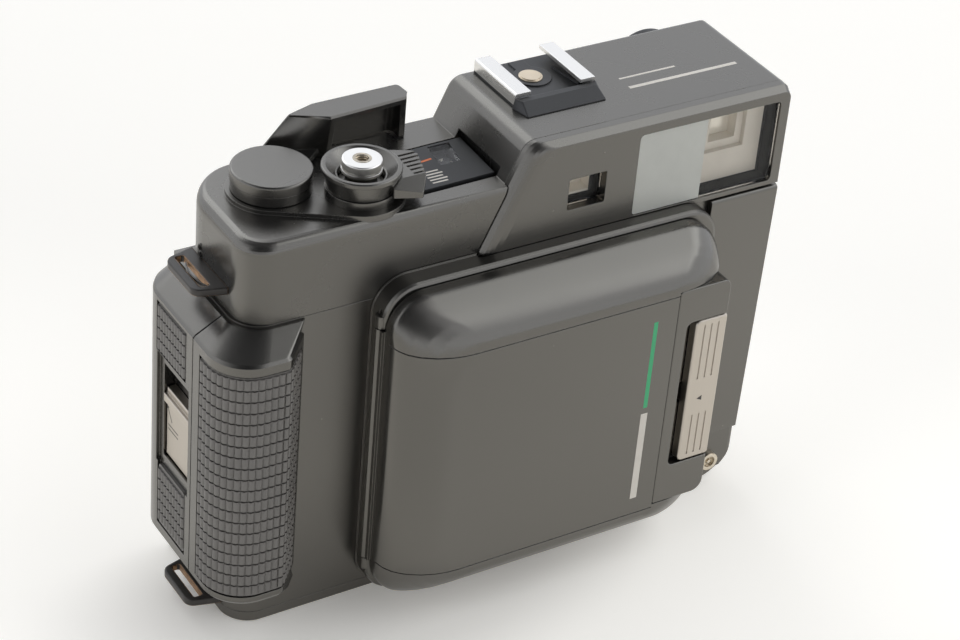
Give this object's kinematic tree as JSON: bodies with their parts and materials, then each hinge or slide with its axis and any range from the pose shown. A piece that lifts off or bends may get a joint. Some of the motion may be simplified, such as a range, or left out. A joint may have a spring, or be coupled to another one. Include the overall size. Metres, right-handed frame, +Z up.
{
  "type": "medium format folding camera",
  "caption": "Medium format folding camera, closed: hinged front door over a bellows lens, finder housing with accessory shoe, side grip, hinged back.",
  "frame": {"origin": "mouth of the tripod socket, in the plane of the base", "axes": "+Z up, -Y out of the camera's front, +X to the right seen from the front"},
  "size_m": [0.1436, 0.0564, 0.1128],
  "materials": {
    "body_paint": "die-cast, satin black paint",
    "cover_paint": "satin black paint on moulded plastic",
    "bezel_plastic": "satin black",
    "cover_plastic": "satin black",
    "door_paint": "satin black paint",
    "grip_rubber": "moulded rib pattern",
    "satin_metal": "satin warm silver",
    "steel": "machined",
    "black_metal": "black, matt",
    "ring_metal": "black, satin",
    "lug_metal": "black nickel, worn to brass in the slot",
    "nickel": "nickel plate",
    "clear_glass": "clear",
    "frosted_glass": "frosted",
    "lens_glass": "coated",
    "mirror_coating": "semi-silvered",
    "black_plastic": "matt",
    "bright_aluminium": "satin bright",
    "contact_brass": "polished",
    "bellows_cloth": "matt coated cloth"
  },
  "bodies": {
    "camera_body": {"main_body": "body_paint", "base_cover": "body_paint", "tripod_socket": "steel", "battery_cap": "black_metal", "base_screws": "steel", "film_gate": "black_metal", "top_cover": "cover_paint", "finder_bezel": "bezel_plastic", "finder_window": "clear_glass", "frosted_window": "frosted_glass", "rangefinder_window": "clear_glass", "finder_block": "black_plastic", "finder_objective": "mirror_coating", "rangefinder_block": "black_plastic", "eyepiece_ring": "black_plastic", "eyepiece_lens": "clear_glass", "counter_panel": "black_plastic", "counter_window": "clear_glass", "dial_post": "black_plastic", "shoe_base": "black_metal", "shoe_rails": "bright_aluminium", "shoe_contact": "contact_brass", "grip_shell": "cover_plastic", "grip_pad": "grip_rubber", "upper_strap_lug": "lug_metal", "lower_strap_lug": "lug_metal", "flash_terminal": "nickel", "front_frame": "body_paint", "front_hinge_pin": "steel", "collar_seat": "cover_paint", "back_hinge": "black_metal", "back_hinge_pin": "steel", "bellows": "bellows_cloth"},
    "front_door": {"front_door": "door_paint", "latch_block": "door_paint"},
    "door_latch": {"door_latch": "satin_metal"},
    "lens_unit": {"lens_standard": "black_metal", "shutter_housing": "black_metal", "front_rim": "black_metal", "front_glass": "lens_glass", "rear_glass": "lens_glass"},
    "focus_ring": {"focus_ring": "ring_metal"},
    "aperture_ring": {"aperture_ring": "ring_metal"},
    "shutter_ring": {"shutter_ring": "ring_metal"},
    "wind_lever": {"wind_lever": "cover_plastic", "wind_cap": "cover_paint"},
    "shutter_button": {"shutter_button": "bright_aluminium"},
    "lock_collar": {"lock_collar": "cover_paint"},
    "counter_dial": {"counter_dial": "black_plastic"},
    "back_door": {"back_door": "cover_plastic", "upper_side_pad": "grip_rubber", "lower_side_pad": "grip_rubber"},
    "back_latch": {"back_latch": "satin_metal"},
    "pressure_plate": {"pressure_plate": "black_metal"},
    "takeup_key": {"takeup_key": "steel"},
    "supply_key": {"supply_key": "steel"},
    "takeup_pin": {"takeup_pin": "black_metal"},
    "supply_pin": {"supply_pin": "black_metal"},
    "takeup_roller": {"takeup_roller": "nickel"},
    "supply_roller": {"supply_roller": "nickel"}
  },
  "joints": [
    {"name": "door_hinge", "type": "hinge", "parent": "camera_body", "child": "front_door", "pos_m": [-0.0329, -0.0192, 0.0437], "axis": [0, 0, -1], "range_deg": [0, 90]},
    {"name": "door_latch_slide", "type": "slide", "parent": "front_door", "child": "door_latch", "axis": [-1, 0, 0], "range_m": [0, 0.0022], "stiffness_N_per_m": 300, "springref_m": -0.001},
    {"name": "lens_slide", "type": "slide", "parent": "camera_body", "child": "lens_unit", "axis": [0, -1, 0], "range_m": [0, 0.033], "deforming": ["bellows"]},
    {"name": "focus_turn", "type": "hinge", "parent": "lens_unit", "child": "focus_ring", "pos_m": [0.006, -0.02, 0.0437], "axis": [0, -1, 0], "range_deg": [0, 110]},
    {"name": "aperture_turn", "type": "hinge", "parent": "lens_unit", "child": "aperture_ring", "pos_m": [0.006, -0.02, 0.0437], "axis": [0, -1, 0], "range_deg": [0, 72]},
    {"name": "shutter_turn", "type": "hinge", "parent": "lens_unit", "child": "shutter_ring", "pos_m": [0.006, -0.02, 0.0437], "axis": [0, -1, 0], "range_deg": [0, 120]},
    {"name": "wind_stroke", "type": "hinge", "parent": "camera_body", "child": "wind_lever", "pos_m": [-0.048, 0.0041, 0.103], "axis": [0, 0, 1], "range_deg": [0, 130], "stiffness_Nm_per_rad": 0.01, "springref_deg": -11.46},
    {"name": "release_press", "type": "slide", "parent": "camera_body", "child": "shutter_button", "axis": [0, 0, -1], "range_m": [0, 0.0025], "stiffness_N_per_m": 400, "springref_m": -0.001},
    {"name": "lock_turn", "type": "hinge", "parent": "camera_body", "child": "lock_collar", "pos_m": [-0.0319, -0.0056, 0.105], "axis": [0, 0, 1], "range_deg": [-35, 0]},
    {"name": "counter_turn", "type": "hinge", "parent": "camera_body", "child": "counter_dial", "pos_m": [-0.011, -0.001, 0.097], "axis": [0, 0, 1], "range_deg": [0, 300]},
    {"name": "back_hinge", "type": "hinge", "parent": "camera_body", "child": "back_door", "pos_m": [0.0692, 0.0176, 0.0437], "axis": [0, 0, -1], "range_deg": [0, 110]},
    {"name": "back_latch_slide", "type": "slide", "parent": "back_door", "child": "back_latch", "axis": [0, 0, 1], "range_m": [0, 0.005]},
    {"name": "plate_slide", "type": "slide", "parent": "back_door", "child": "pressure_plate", "axis": [0, 1, 0], "range_m": [0, 0.0009], "stiffness_N_per_m": 800, "springref_m": -0.001},
    {"name": "takeup_key_spin", "type": "hinge", "parent": "camera_body", "child": "takeup_key", "pos_m": [-0.048, 0.0018, 0.08], "axis": [0, 0, 1], "continuous": true},
    {"name": "supply_key_spin", "type": "hinge", "parent": "camera_body", "child": "supply_key", "pos_m": [0.056, 0.0018, 0.08], "axis": [0, 0, 1], "continuous": true},
    {"name": "takeup_pin_slide", "type": "slide", "parent": "camera_body", "child": "takeup_pin", "axis": [0, 0, -1], "range_m": [0, 0.003], "stiffness_N_per_m": 300, "springref_m": -0.001},
    {"name": "supply_pin_slide", "type": "slide", "parent": "camera_body", "child": "supply_pin", "axis": [0, 0, -1], "range_m": [0, 0.003], "stiffness_N_per_m": 300, "springref_m": -0.001},
    {"name": "takeup_roller_spin", "type": "hinge", "parent": "camera_body", "child": "takeup_roller", "pos_m": [-0.0286, 0.0082, 0.0437], "axis": [0, 0, 1], "continuous": true},
    {"name": "supply_roller_spin", "type": "hinge", "parent": "camera_body", "child": "supply_roller", "pos_m": [0.0406, 0.0082, 0.0437], "axis": [0, 0, 1], "continuous": true}
  ],
  "couplings": [
    {"joint": "lens_slide", "follows": "door_hinge", "m_per_rad": 0.021}
  ]
}
